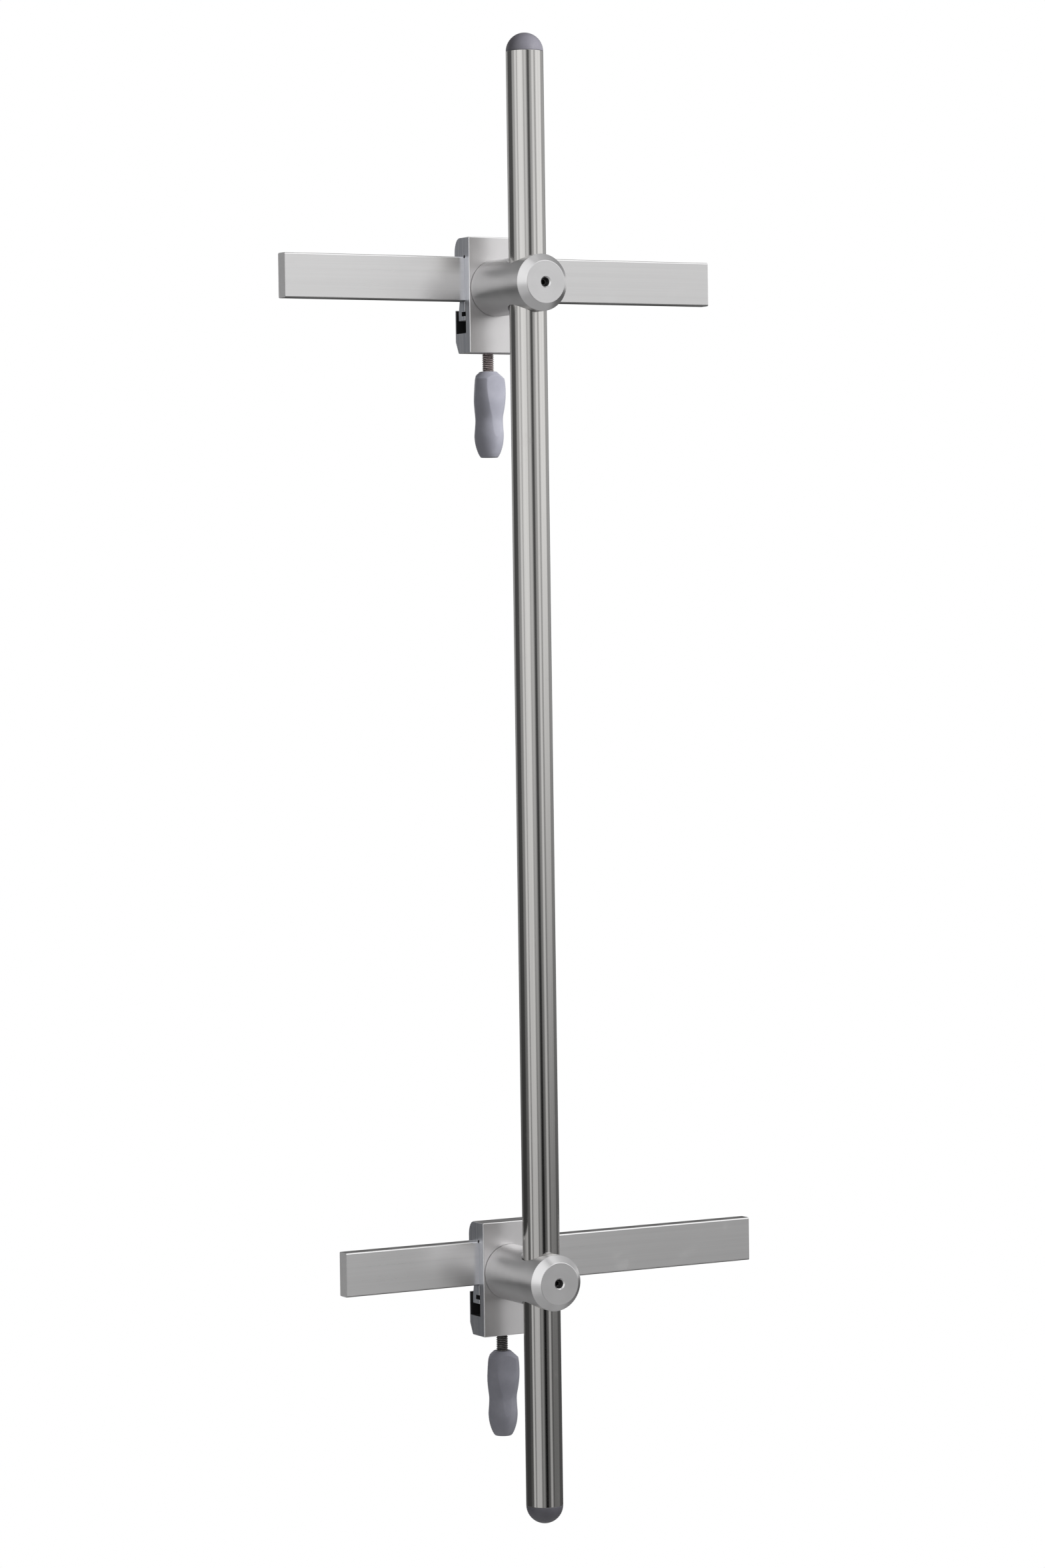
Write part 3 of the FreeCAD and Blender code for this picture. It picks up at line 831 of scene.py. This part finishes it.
grip_side = ((4.9, 11.0), (9.0, 11.5), (14.0, 11.7), (19.0, 11.5), (24.5, 10.8), (31.0, 9.65), (36.5, 9.65),
             (42.5, 10.0), (47.0, 9.75), (51.0, 9.0), (55.0, 7.65), (57.4, 6.4))
flat_line = ((-1.0, 8.0), (5.0, 8.65), (13.0, 9.25), (20.0, 9.6), (27.0, 9.3), (33.0, 9.0), (38.0, 9.35),
             (43.0, 9.85), (48.0, 10.3))
flat_heading = {"lower": 22.0, "upper": 36.0}
tool_width, tool_depth = 40 * mm, 15 * mm
top_radius, foot_radius = 5.7 * mm, 5.6 * mm
grip_top, grip_length = grip_high.z, grip_high.z - grip_low.z

outline = [Vector((0, 0, 0)), Vector((top_radius, 0, 0))]
outline += faired([(radius * mm, 0, -drop * mm) for drop, radius in grip_side])
outline += [Vector((foot_radius, 0, -grip_length)), Vector((0, 0, -grip_length))]

# %% Spin the grip, cut its flats and soften it
grip = drawn_line(outline)
edit(grip)
bpy.ops.mesh.spin(steps=96, angle=2 * math.pi, center=(0, 0, 0), axis=(0, 0, 1), use_auto_merge=True)
bpy.ops.mesh.select_all(action="SELECT")
bpy.ops.mesh.remove_doubles(threshold=0.000005)
bpy.ops.mesh.normals_make_consistent(inside=False)
close()
for flat in range(3):
    tool = drawn_line([v + Vector((0, -tool_width / 2, 0)) for v in
                       faired([(distance * mm, 0, -drop * mm) for drop, distance in flat_line])])
    edit(tool)
    bpy.ops.mesh.extrude_region_move(TRANSFORM_OT_translate={"value": (0, tool_width, 0)})
    bpy.ops.mesh.select_all(action="SELECT")
    bpy.ops.mesh.extrude_region_move(TRANSFORM_OT_translate={"value": (tool_depth, 0, 0)})
    bpy.ops.mesh.select_all(action="SELECT")
    bpy.ops.mesh.normals_make_consistent(inside=False)
    close()
    tool.data.transform(Matrix.Rotation(math.radians(flat_heading["lower"] + 120 * flat), 4, "Z"))
    cut(grip, tool)
grip.data.transform(Matrix.Translation((0, spindle_axis.y, grip_top)))
cut(grip, rod(crest_radius, (0, spindle_axis.y, spindle_low.z), (0, spindle_axis.y, grip_top + mm), 64))
apply(grip, "REMESH", mode="VOXEL", voxel_size=0.33 * mm, adaptivity=0.0)
apply(grip, "SMOOTH", factor=0.5, iterations=3)
smooth(grip, 60)
print("grip is", [round(v / mm, 1) for v in grip.dimensions], "mm")

# %% [markdown]
# Glass-filled nylon is matt and a little cool in colour, and the glass shows as a fine grain. Where
# fingers hold it, it is rubbed slightly smoother. It uses the moulded plastic of the caps with other
# numbers.

# %% Finish the grips
grip_dark, grip_pale = (0.152, 0.153, 0.178), (0.182, 0.183, 0.210)
grip_finish = {
    level: moulded_plastic(level + "_grip_nylon", (0, spindle_axis.y, rail_z[level]), grip_dark, grip_pale,
                           0.50, 0.00002, 0.12)
    for level in levels
}
about = Matrix.Translation((0, spindle_axis.y, 0))
further = math.radians(flat_heading["upper"] - flat_heading["lower"])
turn_upper = about @ Matrix.Rotation(further, 4, "Z") @ about.inverted()
settle_both(grip, "moulded_grip", "grip", "clamp_handle", grip_finish, turn_upper)

# %% [markdown]
# ## The set screws
#
# Down the small hole in each holder's front sits a hardened set screw with a hexagon socket, blackened in
# hot oil. A short rod is cut with a six-sided rod, and its edges are broken.

# %% Blackened steel
def blackened_steel(name, centre):
    """Black oxide: nearly black, thin at the edges, with a dull oily shine."""
    material, finish, place, facing = start_finish(name, centre)
    mottle = finish.noise(place, 900.0, 4.0, 0.65)
    turned = finish.noise(finish.stretched(place, (200, 2600, 200)), 1.0, 2.0)
    worn = worn_edges(finish, facing) * mottle.between(0.3, 0.6)
    colour = finish.mix(mottle, (0.018, 0.018, 0.020), (0.050, 0.049, 0.050))
    colour = finish.mix(worn, colour, (0.32, 0.31, 0.30))
    end_finish(finish, mottle + turned, 0.000006, {"Metallic": 1.0}, Base_Color=colour,
               Roughness=0.36 + mottle * 0.16 - worn * 0.12)
    return material


screw_low, screw_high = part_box("lower_set_screw")
screw_radius, hexagon_radius, socket_depth = 3.0 * mm, 1.73 * mm, 3.2 * mm
screw = rod(screw_radius, (0, screw_high.y, holder_z), (0, screw_low.y, holder_z), 64)
cut(screw, rod(hexagon_radius, (0, screw_low.y + socket_depth, holder_z), (0, screw_low.y - mm, holder_z), 6))
break_edges(screw, 0.2 * mm)
smooth(screw, 40)
screw_finish = {
    level: blackened_steel(level + "_screw_black", (0, 0, holder_z + rise[level].z))
    for level in levels
}
settle_both(screw, "lock_screw", "lock", "set_screw", screw_finish)

# %% [markdown]
# ## Pieces that stay as the CAD made them
#
# The countersunk screws and dowels inside each clamp, the keys that hold the spindles and the pads under
# the set screws already have their real shape, and nearly all of each is hidden. They keep their CAD mesh
# and only get a finish: bright zinc for the screws and dowels, black oxide for the keys, and natural
# nylon for the pads.

# %% Zinc plate, nylon, and which nodes wear them
def zinc_plate(name):
    """Zinc plating: silver with a blue cast, clouded, with fine crystals and rubbed high spots."""
    material, finish, place, facing = start_finish(name)
    crystals = finish.noise(place, 1400.0, 3.0, 0.7)
    cloud = finish.noise(place, 160.0, 3.0)
    colour = finish.mix(cloud.between(0.3, 0.7), (0.56, 0.57, 0.58), (0.68, 0.68, 0.66))
    colour = finish.mix(crystals.between(0.6, 0.8) * 0.4, colour, (0.46, 0.48, 0.52))
    end_finish(finish, crystals, 0.000006, {"Metallic": 1.0}, Base_Color=colour,
               Roughness=0.26 + crystals * 0.12 + cloud * 0.08)
    return material


zinc = zinc_plate("zinc_plate")
key_black = blackened_steel("key_black", (0, 0, 0))
pad_nylon = moulded_plastic("pad_nylon", (0, 0, 0), (0.74, 0.72, 0.66), (0.82, 0.80, 0.74), 0.40, 0.00001)
kept = {"holder_screw": zinc, "holder_dowel": zinc, "spindle_key": key_black, "pressure_pad": pad_nylon}
for level in levels:
    for name, material in kept.items():
        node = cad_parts[level + "_" + name]
        node.data.materials.clear()
        node.data.materials.append(material)
print("kept CAD nodes:", len(levels) * len(kept))

# %% [markdown]
# ## The studio
#
# Polished metal has no colour of its own to speak of: it shows the room. So the room is drawn round the
# object: a few tall soft boxes in front and to the sides, a black flag just left of straight in front, and
# two dim corners behind. Headings are counted in degrees from straight in front, positive to the right.
# Between the boxes the room is half as bright above eye level and nearly dark below it, as near the floor
# of a real studio. Satin and round surfaces also see a bright ceiling at the front, a dim wall behind with
# a card on its left, and the floor below.

# %% Soft boxes and dark places round the object
soft_boxes = {  # heading, half width, brightness above eye level, brightness below it
    "back_left": (-140, 20, 0.1, 0.05),
    "rim": (-90, 4, 1.0, 0.7),
    "left": (-60, 15, 1.1, 0.6),
    "left_fill": (-30, 5, 0.8, 0.3),
    "black_flag": (-10, 5, 0.1, 0.0),
    "key": (20, 5, 1.0, 0.5),
    "right": (60, 20, 1.1, 0.2),
    "back_right": (150, 20, 0.1, 0.05)}
between_boxes = (0.5, 0.1)
box_edge = 5


def round_the_room(side):
    """Brightness by heading, as a ramp's stops: each soft box with soft edges, and the room between them."""
    stops = []
    for heading, half_width, *brightness in soft_boxes.values():
        inner, outer = half_width, half_width + box_edge
        stops += [(heading - outer, between_boxes[side]), (heading - inner, brightness[side]),
                  (heading + inner, brightness[side]), (heading + outer, between_boxes[side])]
    return [((heading + 180) / 360, value) for heading, value in stops]


world = bpy.data.worlds.new("studio")
bpy.context.scene.world = world
world.use_nodes = True
room = Finish(world.node_tree)
x, y, z = room.axes(room.add("ShaderNodeTexCoord")[0])
heading = x.sum("ARCTAN2", x, y * -1) / (2 * math.pi) + 0.5
above, below = [
    room.add("ShaderNodeValToRGB", {"stops": round_the_room(side)}, {0: heading})[0]
    for side in (0, 1)
]
lift = z.between(math.sin(math.radians(-9.5)), math.sin(math.radians(3)))
light = room.mix(lift, below, above)
front_right = (y * -1).between(-0.1, 0.5) * x.between(-0.3, 0.15)
ceiling_starts = z.between(math.sin(math.radians(9)), math.sin(math.radians(26)))
ceiling = ceiling_starts * (1 - z.between(0.65, 0.9)) * front_right
wall = y.between(0.2, 0.6) * abs(z).between(0.2, 0.36)
card = y.between(0.5, 0.8) * (x * -1).between(0.0, 0.3) * z.between(0.14, 0.22) * (1 - z.between(0.28, 0.38))
for place, brightness in ((ceiling, 1.35), (wall, 0.20), (card, 0.55)):
    light = room.mix(place, light, [brightness] * 3)
ground_brightness = 0.38
light = room.mix(z.between(-0.75, -0.45), [ground_brightness] * 3, light)
seen = room.add("ShaderNodeLightPath")[0]
lit = room.add("ShaderNodeBackground", {}, {"Color": light, "Strength": 1.0})[0]
backdrop = room.add("ShaderNodeBackground", {}, {"Color": (1, 1, 1, 1), "Strength": 1.0})[0]
both = room.add("ShaderNodeMixShader", {}, {0: seen, 1: lit, 2: backdrop})[0]
room.add("ShaderNodeOutputWorld", {}, {"Surface": both})
print("round the room:", ", ".join(soft_boxes))

# %% [markdown]
# One soft box stands close, up and to the right. It models the matt plastics, and the upper clamp gets
# more of it than the lower one, since light falls off with distance. A second one fills the back. Both
# are hidden from reflections, because the drawn room already gives those. A wide pale floor lies well
# below the object.

# %% Soft boxes and floor
def soft_light(name, place, aimed_at, size, power):
    """A round soft box that lights matt surfaces and shows in no reflection."""
    lamp = bpy.data.lights.new(name, "AREA")
    lamp.shape, lamp.size, lamp.energy = "DISK", size, power
    box = bpy.data.objects.new(name, lamp)
    bpy.context.scene.collection.objects.link(box)
    box.location = place
    box.rotation_euler = (Vector(aimed_at) - box.location).to_track_quat("-Z", "Y").to_euler()
    box.visible_glossy = False
    box.visible_camera = False


soft_light("soft_box", (0.35, -0.62, 1.0), (0, 0, rail_z["upper"]), 0.6, 21.0)
soft_light("rear_box", (0.15, 1.4, 0.9), pole_axis, 0.9, 22.0)

floor = primitive("circle", vertices=96, radius=4.0, fill_type="NGON", location=(0, 0, -1.2))
floor.name = "studio_floor"
paper = bpy.data.materials.new("floor_paper")
paper.use_nodes = True
sheet = Finish(paper.node_tree)
spot = sheet.add("ShaderNodeTexCoord")[3]
shade = sheet.mix(sheet.noise(spot, 3.0, 3.0), (0.90, 0.90, 0.89), (0.93, 0.93, 0.92))
surface = sheet.add("ShaderNodeBsdfPrincipled", {}, {"Base Color": shade, "Roughness": 0.9})[0]
sheet.add("ShaderNodeOutputMaterial", {}, {"Surface": surface})
floor.data.materials.append(paper)
floor.visible_glossy = False

# %% [markdown]
# ## The camera
#
# The camera stands a little over three metres off, to the left of the clamps and nearly at their middle
# height, with a long lens, so the uprights stay upright. It is turned to its heading, dipped, and tilted
# by under a degree.

# %% Set up the camera
camera_place = (-1.5198, -2.7993, 0.4519)
turn, dip, tilt = [math.radians(angle) for angle in (28.886, 2.273, -0.808)]
focal_length, sensor_width = 107.31, 36.0
across = Vector((math.cos(turn), -math.sin(turn), 0))
ahead = Vector((math.sin(turn), math.cos(turn), 0))
down = Vector((0, 0, -math.cos(dip))) - ahead * math.sin(dip)
forward = Vector((0, 0, -math.sin(dip))) + ahead * math.cos(dip)
right = across * math.cos(tilt) - down * math.sin(tilt)
down = across * math.sin(tilt) + down * math.cos(tilt)

lens = bpy.data.cameras.new("long_lens")
lens.lens, lens.sensor_width = focal_length, sensor_width
camera = bpy.data.objects.new("camera", lens)
bpy.context.scene.collection.objects.link(camera)
aimed = Matrix((right, -down, -forward)).transposed().to_4x4()
camera.matrix_world = Matrix.Translation(camera_place) @ aimed
bpy.context.scene.camera = camera
bpy.context.scene.view_settings.view_transform = "Standard"

# %% [markdown]
# ## Last step
#
# The looks mustn't change the size. Here the scene is only brought up to date.

# %% Bring the scene up to date
bpy.context.view_layer.update()
